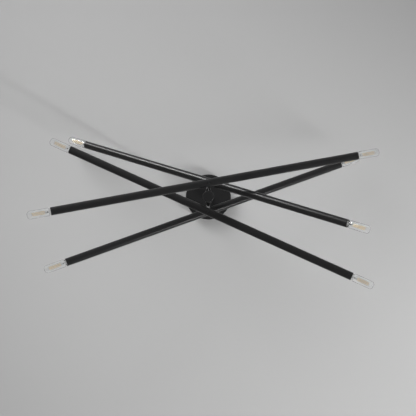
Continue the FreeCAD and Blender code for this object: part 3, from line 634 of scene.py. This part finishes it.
class ScrewGrid(ModifierRecipe):
    """Slotted screws in two rows, as in the wells of a terminal block.

    The bar that cuts the slot is a share of the head's radius long, and a share of its height lower.
    """

    HEAD_SIDES = 24
    BAR_LENGTH_SHARE = 3.0
    BAR_DROP_SHARE = 0.6

    def __init__(self, material: bpy.types.Material) -> None:
        """Builds the tree.

        Args:
            material: the screws' material.
        """
        super().__init__("screw_grid", {"Width": FLOAT, "Pitch": FLOAT, "Radius": FLOAT,
                                        "Height": FLOAT, "Slot": FLOAT})
        graph, sizes = self.graph, self.ports.outputs
        grid = graph.add("GeometryNodeMeshGrid", {"Size X": sizes["Width"], "Size Y": sizes["Pitch"],
                                                  "Vertices X": 2, "Vertices Y": 2})
        head = graph.add("GeometryNodeMeshCylinder", {
            "Vertices": self.HEAD_SIDES, "Radius": sizes["Radius"], "Depth": sizes["Height"]})
        bar_size = graph.add("ShaderNodeCombineXYZ", {
            0: graph.maths("MULTIPLY", sizes["Radius"], self.BAR_LENGTH_SHARE), 1: sizes["Slot"],
            2: sizes["Height"]})
        lower = graph.add("ShaderNodeCombineXYZ", {
            2: graph.maths("MULTIPLY", sizes["Height"], -self.BAR_DROP_SHARE)})
        bar = graph.add("GeometryNodeMeshCube", {"Size": bar_size.outputs[0]})
        placed = graph.add("GeometryNodeTransform", {"Geometry": bar.outputs[0],
                                                     "Translation": lower.outputs[0]})
        slotted = graph.add("GeometryNodeMeshBoolean", {0: head.outputs[0], 1: placed.outputs[0]},
                            operation="DIFFERENCE", solver="EXACT")
        screws = graph.add("GeometryNodeInstanceOnPoints", {"Points": grid.outputs[0],
                                                            "Instance": slotted.outputs[0]})
        self.finish(screws.outputs[0], material)


@dataclass(frozen=True)
class TubeFrame:
    """Where one lamp tube lies: X along it, Z along its hinge pin."""

    END_DEPTH: ClassVar[float] = 1 * MM
    level: int
    place: Matrix
    half_length: float

    @classmethod
    def read(cls, frame: dict, level: int) -> TubeFrame:
        """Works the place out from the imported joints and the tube's mesh.

        Args:
            frame: the loaded frame.
            level: the tube's number, from 1 at the bottom.

        Returns:
            The tube's frame.
        """
        joint = next(j for j in frame["joints"] if j["name"] == f"tube_{level}_swing")
        centre, pin = Vector(joint["pos_m"]), Vector(joint["axis"]).normalized()
        corners = [vertex.co - centre for vertex in frame["nodes"][f"tube_{level}"].data.vertices]
        reach = max(corner.length for corner in corners)
        end_ring = [corner for corner in corners
                    if corner.length > reach - cls.END_DEPTH and corner.x > 0]
        along = sum(end_ring, Vector()) / len(end_ring)
        along = (along - pin * along.dot(pin)).normalized()
        side = pin.cross(along)
        turn = Matrix((along, side, pin)).transposed().to_4x4()
        half_length = max(abs(corner.dot(along)) for corner in corners)
        return cls(level, Matrix.Translation(centre) @ turn, half_length)

    def lamp_place(self, end: int) -> Matrix:
        """Gives the place of a lamp, with X out of the tube and zero at its end, for end -1 or 1."""
        turn = Matrix.Rotation(math.pi * (1 - end) / 2, 4, "Z")
        return self.place @ Matrix.Translation((end * self.half_length, 0, 0)) @ turn


@dataclass
class Lamps:
    """The two tubular lamps of one tube."""

    workshop: Workshop
    rod_cage: RodCage
    glass_radius: float = 10.2 * MM
    glass_reach: float = 57.5 * MM
    glass_wall: float = 0.8 * MM
    tip_radius: float = 8 * MM
    tip_steps: int = 10
    neck_radius: float = 6.5 * MM
    neck_length: float = 1.5 * MM
    shoulder: float = 5.5 * MM
    shoulder_steps: int = 6
    base_front: float = 0.5 * MM
    glass_sides: int = 64
    rod_count: int = 4
    rod_spread: float = 3 * MM
    rod_radius: float = 0.8 * MM
    rod_sides: int = 12
    rod_length: float = 32 * MM
    rods_from: float = 13.35 * MM
    small_part_sides: int = 24
    mount_radius: float = 2.25 * MM
    mount_length: float = 10 * MM
    flare_length: float = 1.2 * MM
    flare_share: float = 0.85
    waist_share: float = 0.6
    waist_margin: float = 3 * MM
    pinch_angle: float = 80.0
    pinch_steps: int = 6
    ferrule_at: float = 7.5 * MM
    ferrule_radius: float = 1.5 * MM
    ferrule_length: float = 2.6 * MM
    ferrule_lip: float = 0.3 * MM
    wire_radius: float = 0.25 * MM
    wire_in_mount: float = 2 * MM
    wire_straight: float = 2.4 * MM
    wire_before_rod: float = 1 * MM
    wire_in_rod: float = 0.5 * MM
    wire_past_rod: float = 0.8 * MM
    crown_from_rods: float = 1.6 * MM
    stem_past_rods: float = 1.8 * MM
    root_share: float = 0.3
    crown_share: float = 0.1

    def envelope_profile(self, inset: float) -> Profile:
        """Gives the line of the glass from its back to its tip.

        Args:
            inset: how far the line is drawn in.

        Returns:
            The profile's points.
        """
        full, neck = self.glass_radius - inset, self.neck_radius - inset
        back, reach, tip = -self.base_front + inset, self.glass_reach - inset, self.tip_radius - inset
        points = [(back, 0.0), (back, neck), (self.neck_length, neck)]
        for step in range(1, self.shoulder_steps):
            share = step / self.shoulder_steps
            ease = share * share * (3 - 2 * share)
            points.append((self.neck_length + (self.shoulder - self.neck_length) * share,
                           neck + (full - neck) * ease))
        points.append((self.shoulder, full))
        points += arc_points((reach - tip, full - tip), tip, 90, 0, self.tip_steps)
        points.append((reach, 0.0))
        return points

    def glass(self) -> bmesh.types.BMesh:
        """Builds one glass with its hollow and returns its form."""
        form = bmesh.new()
        lathe(form, self.envelope_profile(0), self.glass_sides)
        lathe(form, self.envelope_profile(self.glass_wall), self.glass_sides, inward=True)
        return form

    def mount(self) -> bmesh.types.BMesh:
        """Builds one flared glass mount with its pinched end and returns its form."""
        form = bmesh.new()
        back = -self.base_front + self.glass_wall
        end = back + self.mount_length
        waist = self.mount_radius * self.waist_share
        profile = [(back, 0.0), (back, self.mount_radius),
                   (back + self.flare_length, self.mount_radius * self.flare_share),
                   (back + self.waist_margin, waist), (end - self.waist_margin, waist)]
        profile += arc_points((end - waist, 0), waist, self.pinch_angle, 0, self.pinch_steps)[:-1]
        profile.append((end, 0.0))
        lathe(form, profile, self.small_part_sides)
        return form

    def ferrule(self) -> bmesh.types.BMesh:
        """Builds the dark ring round one mount and returns its form."""
        form = bmesh.new()
        near = self.ferrule_at - self.ferrule_length / 2
        far = self.ferrule_at + self.ferrule_length / 2
        radius, lip = self.ferrule_radius, self.ferrule_lip
        lathe(form, [(near, 0.0), (near, radius - lip), (near + lip, radius), (far - lip, radius),
                     (far, radius - lip), (far, 0.0)], self.small_part_sides)
        return form

    def wires(self) -> bmesh.types.BMesh:
        """Builds the wires that hold one lamp's rods and returns their form."""
        form = bmesh.new()
        mount_end = -self.base_front + self.glass_wall + self.mount_length
        rods_end = self.rods_from + self.rod_length
        middle = Vector((mount_end - self.wire_in_mount, 0, 0))
        for step in range(self.rod_count):
            angle = math.tau * step / self.rod_count
            out = Vector((0, math.cos(angle), math.sin(angle))) * self.rod_spread
            root = middle + out * self.root_share
            rod(form, [root, root + Vector((self.wire_straight, 0, 0)),
                       out + Vector((self.rods_from - self.wire_before_rod, 0, 0)),
                       out + Vector((self.rods_from + self.wire_in_rod, 0, 0))], self.wire_radius)
            rod(form, [out + Vector((rods_end - self.wire_in_rod, 0, 0)),
                       out + Vector((rods_end + self.wire_past_rod, 0, 0)),
                       out * self.crown_share + Vector((rods_end + self.crown_from_rods, 0, 0))],
                self.wire_radius)
        rod(form, [middle, Vector((rods_end + self.stem_past_rods, 0, 0))], self.wire_radius)
        return form

    def rods(self) -> bmesh.types.BMesh:
        """Builds one lamp's filament rods and returns their form."""
        return self.rod_cage.make({
            "Rods": self.rod_count, "Spread": self.rod_spread, "Start": self.rods_from,
            "Length": self.rod_length, "Radius": self.rod_radius, "Sides": self.rod_sides})

    def build(self, tube: TubeFrame) -> None:
        """Builds the lamps at both ends of a tube.

        Args:
            tube: the tube's frame.
        """
        level, body, shop = tube.level, f"tube_{tube.level}", self.workshop
        recipes = (
            ("glass", self.glass, Slot.GLASS, None, (f"lamp_glass_{level}",)),
            ("filament_rods", self.rods, Slot.FILAMENT, None, (f"lamp_filaments_{level}",)),
            ("support_wires", self.wires, Slot.LAMP_BASE, shop.wire, ()),
            ("glass_mounts", self.mount, Slot.GLASS, None, ()),
            ("ferrules", self.ferrule, Slot.SOCKET, shop.ferrule, ()),
        )
        for word, make, slot, material, stands_for in recipes:
            name = f"lamp_{word}_of_tube_{level}"
            both = bmesh.new()
            for end in (-1, 1):
                single = mesh_from(make(), name, tube.lamp_place(end))
                both.from_mesh(single)
                bpy.data.meshes.remove(single)
            mesh = mesh_from(both, name, Matrix.Identity(4))
            shop.add_piece(name, mesh, body, slot, material, stands_for)


@dataclass
class SoftenedShells:
    """The black metal pieces, copied from the frame with their edges broken."""

    workshop: Workshop
    frame: dict
    edge: float = 0.35 * MM
    segments: int = 2
    merge: float = 0.002 * MM
    flat_below: float = 0.4
    crease: float = 32.0
    names: tuple[str, ...] = ("canopy", "canopy_collar", "stem_tube", "stem_end_cap")

    def soften(self, node: str, material: bpy.types.Material | None = None) -> None:
        """Replaces one node with its softened copy.

        Args:
            node: the node's name.
            material: its material, where that isn't the black coat.
        """
        form = bmesh.new()
        form.from_mesh(self.frame["nodes"][node].data)
        bmesh.ops.remove_doubles(form, verts=form.verts, dist=self.merge)
        bmesh.ops.dissolve_limit(form, angle_limit=math.radians(self.flat_below), verts=form.verts,
                                 edges=form.edges)
        mesh = mesh_from(form, node + "_coated", Matrix.Identity(4), self.crease)
        bodies = self.frame["record"]["behaviour"]["bodies"]
        body = next(name for name, nodes in bodies.items() if node in nodes)
        piece = self.workshop.add_piece(node + "_coated", mesh, body, Slot.BLACK, material, (node,))
        bevel = piece.modifiers.new("broken_edges", "BEVEL")
        bevel.width = self.edge
        bevel.segments = self.segments
        bevel.limit_method = "ANGLE"
        bevel.angle_limit = math.radians(self.crease)
        bevel.use_clamp_overlap = True
        bevel.harden_normals = True

    def build(self, levels: range) -> None:
        """Softens the fixed pieces and each level's hub, arm and tube.

        Args:
            levels: the levels' numbers.
        """
        for node in self.names:
            self.soften(node)
        for level in levels:
            self.soften(f"swivel_hub_{level}")
            self.soften(f"arm_{level}", self.workshop.arm)
            self.soften(f"tube_{level}")


@dataclass
class TerminalScrews:
    """The brass screws in the wells of the terminal block."""

    workshop: Workshop
    width: float = 7 * MM
    pitch: float = 8 * MM
    head_radius: float = 1.7 * MM
    head_height: float = 1.5 * MM
    slot_width: float = 0.6 * MM
    depth: float = 2.2 * MM

    def build(self) -> None:
        """Sets the screws in the block's wells."""
        low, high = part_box("terminal_block")
        grid = ScrewGrid(self.workshop.materials[Slot.BRASS])
        form = grid.make({"Width": self.width, "Pitch": self.pitch, "Radius": self.head_radius,
                          "Height": self.head_height, "Slot": self.slot_width})
        middle = Vector(((low.x + high.x) / 2, (low.y + high.y) / 2, low.z + self.depth))
        mesh = mesh_from(form, "terminal_screws", Matrix.Translation(middle))
        self.workshop.add_piece("terminal_screws", mesh, "root", Slot.BRASS)


@dataclass(frozen=True)
class SoftLight:
    """An area light that aims at a point, with its width along a given direction."""

    name: str
    place: tuple[float, float, float]
    width: float
    height: float
    power: float
    aim: tuple[float, float, float] = (0.0, 0.0, 0.0)
    shape: str = "ELLIPSE"
    along: tuple[float, float, float] | None = None
    only_on: tuple[str, ...] = ()
    mirrored: bool = False

    def build(self) -> None:
        """Puts the light in the scene.

        It lights the named pieces, or all but the floor, either as matt surfaces or as a reflection.
        """
        lamp = bpy.data.lights.new(self.name, "AREA")
        lamp.shape = self.shape
        lamp.size = self.width
        lamp.size_y = self.height
        lamp.energy = self.power
        holder = bpy.data.objects.new(self.name, lamp)
        bpy.context.scene.collection.objects.link(holder)
        back = (Vector(self.place) - Vector(self.aim)).normalized()
        wide = Vector(self.along) if self.along else Vector((0, 0, 1)).cross(back)
        wide = (wide - back * wide.dot(back)).normalized()
        turn = Matrix((wide, back.cross(wide), back)).transposed().to_4x4()
        holder.matrix_world = Matrix.Translation(self.place) @ turn
        holder.visible_camera = False
        holder.visible_glossy = self.mirrored
        holder.visible_transmission = self.mirrored
        holder.visible_diffuse = not self.mirrored
        receivers = bpy.data.collections.new(self.name + "_receivers")
        for name in self.only_on or (FLOOR_SHEET,):
            receivers.objects.link(bpy.data.objects[name])
        if not self.only_on:
            for member in receivers.collection_objects:
                member.light_linking.link_state = "EXCLUDE"
        holder.light_linking.receiver_collection = receivers


@dataclass
class Studio:
    """Camera, ceiling, floor and lights."""

    ceiling_colour: Colour = (0.456, 0.456, 0.456, 1.0)
    floor_colour: Colour = (0.75, 0.75, 0.74, 1.0)
    floor_height: float = -1.5
    sheet_radius: float = 12.0
    sheet_sides: int = 96
    ceiling_lift: float = 0.3 * MM
    ceiling_hole: float = 60 * MM
    # Painted shade on the ceiling paint: its centre, how fast it grows with distance, and the most it
    # reaches.
    painted_shade_centre: tuple[float, float, float] = (0.023, 0.511, 0.0)
    painted_shade_growth: float = 0.246
    most_painted_shade: float = 0.42
    ceiling_fade: tuple[float, float] = (0.86, 1.7)
    floor_fade: tuple[float, float] = (0.5, 2.2)
    fill_below: float = 0.248
    fill_level: float = 0.716
    fill_in_gloss: float = 0.25
    backdrop: float = 0.72
    camera_place: tuple[float, float, float] = (0.0009, 0.0129, -2.9316)
    camera_turns: tuple[float, float, float] = (0.3447, 0.0323, 0.519)
    focal_pixels: float = 1050.0
    image_pixels: float = 416.0
    lights: tuple[SoftLight, ...] = (
        SoftLight("upright_key", (1.95, 1.09, -0.8), 0.06, 1.6, 44.7, aim=(0.0, 0.0, -0.8)),
        SoftLight("upright_key_low", (1.7, 0.95, -1.2), 0.06, 2.2, 7.6, aim=(0.0, 0.0, -1.2)),
        SoftLight("lower_right_soft", (1.0, 1.3, -1.35), 0.9, 0.9, 3.6),
        SoftLight("upper_left_flat", (-1.33, -1.82, -0.82), 1.0, 1.0, 31.8, shape="RECTANGLE"),
        SoftLight("upper_left_middle", (-1.16, -1.586, -1.377), 1.0, 1.0, 17.4, shape="RECTANGLE"),
        SoftLight("upper_left_steep", (-0.91, -1.245, -1.84), 1.0, 1.0, 7.2, shape="RECTANGLE"),
        SoftLight("floor_wash", (0.0, 0.0, -0.02), 3.0, 3.0, 45.0, aim=(0.0, 0.0, -1.5),
                  shape="RECTANGLE", along=(1.0, 0.0, 0.0), only_on=(FLOOR_SHEET,)),
        SoftLight("third_tube_gleam", (-1.286, -1.994, -1.014), 1.0, 0.2, 60.0, aim=(0.0, 0.0, -0.22),
                  shape="RECTANGLE", along=(0.596, -0.14, -0.613), mirrored=True,
                  only_on=("tube_3_coated", "lamp_glass_of_tube_3", "lamp_filament_rods_of_tube_3")),
        SoftLight("third_lamp_glint", (-1.81, -2.08, -0.724), 0.3, 0.4, 40.0,
                  aim=(-0.365, -0.152, -0.056), shape="RECTANGLE", along=(0.805, 0.075, -0.589),
                  mirrored=True, only_on=("lamp_glass_of_tube_3",)),
        SoftLight("fourth_tube_gleam", (1.56, 1.62, -1.18), 0.5, 0.12, 12.0, aim=(0.15, 0.0, -0.19),
                  shape="RECTANGLE", along=(0.695, -0.55, 0.338), mirrored=True,
                  only_on=("tube_4_coated",)),
        SoftLight("upper_sheen", (0.0, -2.4, -0.6), 2.4, 0.6, 4.5, aim=(0.0, 0.0, -0.26),
                  shape="RECTANGLE", mirrored=True,
                  only_on=("tube_1_coated", "tube_2_coated", "tube_3_coated", "tube_4_coated")),
        SoftLight("first_arm_gleam", (0.25, 0.03, -2.4), 0.2, 0.2, 4.0, aim=(0.0, -0.03, -0.33),
                  mirrored=True, only_on=("arm_1_coated",)),
        SoftLight("second_arm_gleam", (-0.66, 0.03, -2.39), 0.2, 0.2, 0.7, aim=(0.0, 0.03, -0.29),
                  mirrored=True, only_on=("arm_2_coated",)),
        SoftLight("hub_gleam", (-1.16, -1.586, -1.377), 1.0, 1.0, 18.0, shape="RECTANGLE",
                  mirrored=True,
                  only_on=("stem_end_cap_coated", "swivel_hub_1_coated", "swivel_hub_2_coated")),
    )

    def camera(self) -> None:
        """Sets the camera where the photograph was taken from."""
        turn_x, turn_y, turn_z = (math.radians(angle) for angle in self.camera_turns)
        seen = (Matrix.Rotation(turn_z, 3, "Z") @ Matrix.Rotation(turn_x, 3, "X")
                @ Matrix.Rotation(turn_y, 3, "Y"))
        right, down, forward = seen
        data = bpy.data.cameras.new("photo_view")
        data.lens = self.focal_pixels / self.image_pixels * data.sensor_width
        holder = bpy.data.objects.new("photo_view", data)
        bpy.context.scene.collection.objects.link(holder)
        turn = Matrix((right, -down, -forward)).transposed().to_4x4()
        holder.matrix_world = Matrix.Translation(self.camera_place) @ turn
        bpy.context.scene.camera = holder

    def paint_falloff_shade(self, graph: Graph, colour: Colour) -> bpy.types.NodeSocket:
        """Paints shade into a colour, darkening it slowly away from a point where the light on the
        ceiling falls off.

        Args:
            graph: the material's graph.
            colour: the colour at the point.

        Returns:
            The darkened colour's socket.
        """
        # Painted shade: the share of black grows with the square of the distance, up to a most.
        away = graph.add("ShaderNodeVectorMath", {0: graph.place(), 1: self.painted_shade_centre},
                         operation="DISTANCE").outputs["Value"]
        share = graph.maths("MULTIPLY", graph.maths("POWER", away, 2.0), self.painted_shade_growth)
        return graph.mix(graph.maths("MINIMUM", share, self.most_painted_shade), colour, BLACK)

    @staticmethod
    def seen_straight(graph: Graph) -> bpy.types.NodeSocket:
        """Gives 1 for the camera's own rays, through glass too, and 0 for all others."""
        path = graph.add("ShaderNodeLightPath").outputs
        return graph.maths("MAXIMUM", path["Is Camera Ray"], path["Is Transmission Ray"])

    def one_sided(self, name: str, colour: Colour, with_painted_shade: bool, fade: tuple[float, float]
                  ) -> bpy.types.Material:
        """Makes a plain paint, with painted shade where asked, that fades into the backdrop and is clear
        when seen from behind.

        Args:
            name: the material's name.
            colour: the paint's colour.
            with_painted_shade: whether painted shade darkens it away from a point, where the light on
                the ceiling falls off.
            fade: distances from the middle where the fading starts and ends.

        Returns:
            The material.
        """
        material = bpy.data.materials.new(name)
        material.use_nodes = True
        graph = Graph(material.node_tree)
        # Painted shade: when asked, the paint's colour darkens away from a point.
        shade = self.paint_falloff_shade(graph, colour) if with_painted_shade else colour
        paint = graph.add("ShaderNodeBsdfDiffuse", {"Color": shade})
        out = graph.add("ShaderNodeVectorMath", {0: graph.place()}, operation="LENGTH").outputs["Value"]
        gone = graph.maths("MULTIPLY", graph.ramp(out, *fade), self.seen_straight(graph))
        glow = graph.add("ShaderNodeEmission", {"Strength": self.backdrop})
        front = graph.add("ShaderNodeMixShader", {0: gone, 1: paint.outputs[0], 2: glow.outputs[0]})
        back = graph.add("ShaderNodeNewGeometry").outputs["Backfacing"]
        clear = graph.add("ShaderNodeBsdfTransparent")
        both = graph.add("ShaderNodeMixShader", {0: back, 1: front.outputs[0], 2: clear.outputs[0]})
        graph.add("ShaderNodeOutputMaterial", {"Surface": both.outputs[0]})
        return material

    def sheet(self, name: str, height: float, faces_up: bool, paint: bpy.types.Material,
              hole: float = 0.0) -> bpy.types.Object:
        """Lays a wide round level sheet that isn't part of the light.

        Args:
            name: the sheet's name.
            height: its height.
            faces_up: whether its painted side is on top.
            paint: its material.
            hole: radius of a hole in its middle.

        Returns:
            The sheet.
        """
        count = self.sheet_sides
        turns = [math.tau * step / count for step in range(count)]
        points = [(radius * math.cos(turn), radius * math.sin(turn), height)
                  for radius in (self.sheet_radius, hole)[:2 if hole else 1] for turn in turns]
        faces = [tuple(range(count))]
        if hole:
            faces = [(step, (step + 1) % count, count + (step + 1) % count, count + step)
                     for step in range(count)]
        mesh = bpy.data.meshes.new(name)
        mesh.from_pydata(points, [], faces if faces_up else [face[::-1] for face in faces])
        mesh.materials.append(paint)
        sheet = bpy.data.objects.new(name, mesh)
        bpy.context.scene.collection.objects.link(sheet)
        return sheet

    def world(self) -> None:
        """Lights the scene evenly and shows a pale backdrop to the camera."""
        world = bpy.data.worlds.new("studio")
        bpy.context.scene.world = world
        world.use_nodes = True
        graph = Graph(world.node_tree)
        glossy = graph.add("ShaderNodeLightPath").outputs["Is Glossy Ray"]
        way = graph.add("ShaderNodeTexCoord").outputs["Generated"]
        height = graph.add("ShaderNodeSeparateXYZ", {0: way}).outputs["Z"]
        level = graph.add("ShaderNodeMapRange", {"Value": height, "From Min": -1.0, "From Max": 0.0,
                                                 "To Min": self.fill_below, "To Max": self.fill_level})
        dim = graph.add("ShaderNodeMapRange", {"Value": glossy, "To Min": 1.0,
                                               "To Max": self.fill_in_gloss})
        strength = graph.maths("MULTIPLY", level.outputs[0], dim.outputs[0])
        fill = graph.add("ShaderNodeBackground", {"Color": WHITE, "Strength": strength})
        backdrop = graph.add("ShaderNodeBackground", {"Color": WHITE, "Strength": self.backdrop})
        mixed = graph.add("ShaderNodeMixShader", {0: self.seen_straight(graph), 1: fill.outputs[0],
                                                  2: backdrop.outputs[0]})
        graph.add("ShaderNodeOutputWorld", {"Surface": mixed.outputs[0]})

    def build(self) -> None:
        """Builds the whole studio."""
        self.camera()
        # The ceiling paint carries painted shade that darkens it away from a point.
        ceiling_paint_with_painted_shade = self.one_sided("ceiling_paint_with_painted_shade", self.ceiling_colour, True, self.ceiling_fade)
        self.sheet("ceiling_sheet", self.ceiling_lift, False, ceiling_paint_with_painted_shade, self.ceiling_hole)
        floor_paint = self.one_sided("floor_paint", self.floor_colour, False, self.floor_fade)
        floor = self.sheet(FLOOR_SHEET, self.floor_height, True, floor_paint)
        floor.visible_diffuse = False
        floor.visible_glossy = False
        floor.visible_shadow = False
        for light in self.lights:
            light.build()
        self.world()
        bpy.context.scene.view_settings.view_transform = "Standard"


def dress_frame(frame: dict, workshop: Workshop) -> None:
    """Gives every node of the frame its finish.

    Args:
        frame: the loaded frame.
        workshop: the materials.
    """
    for subpart in frame["record"]["subparts"]:
        mesh = frame["nodes"][subpart["node"]].data
        finish = workshop.materials[Slot(subpart["material_slot"])]
        if not mesh.materials:
            mesh.materials.append(finish)
        for index in range(len(mesh.materials)):
            mesh.materials[index] = finish


def main() -> None:
    """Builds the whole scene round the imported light."""
    logging.basicConfig(level=logging.INFO)
    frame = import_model()
    levels = range(1, TUBE_COUNT + 1)
    workshop = Workshop()
    dress_frame(frame, workshop)
    SoftenedShells(workshop, frame).build(levels)
    TerminalScrews(workshop).build()
    lamps = Lamps(workshop, RodCage(workshop.materials[Slot.FILAMENT]))
    for level in levels:
        lamps.build(TubeFrame.read(frame, level))
    Studio().build()


if __name__ == "__main__":
    main()
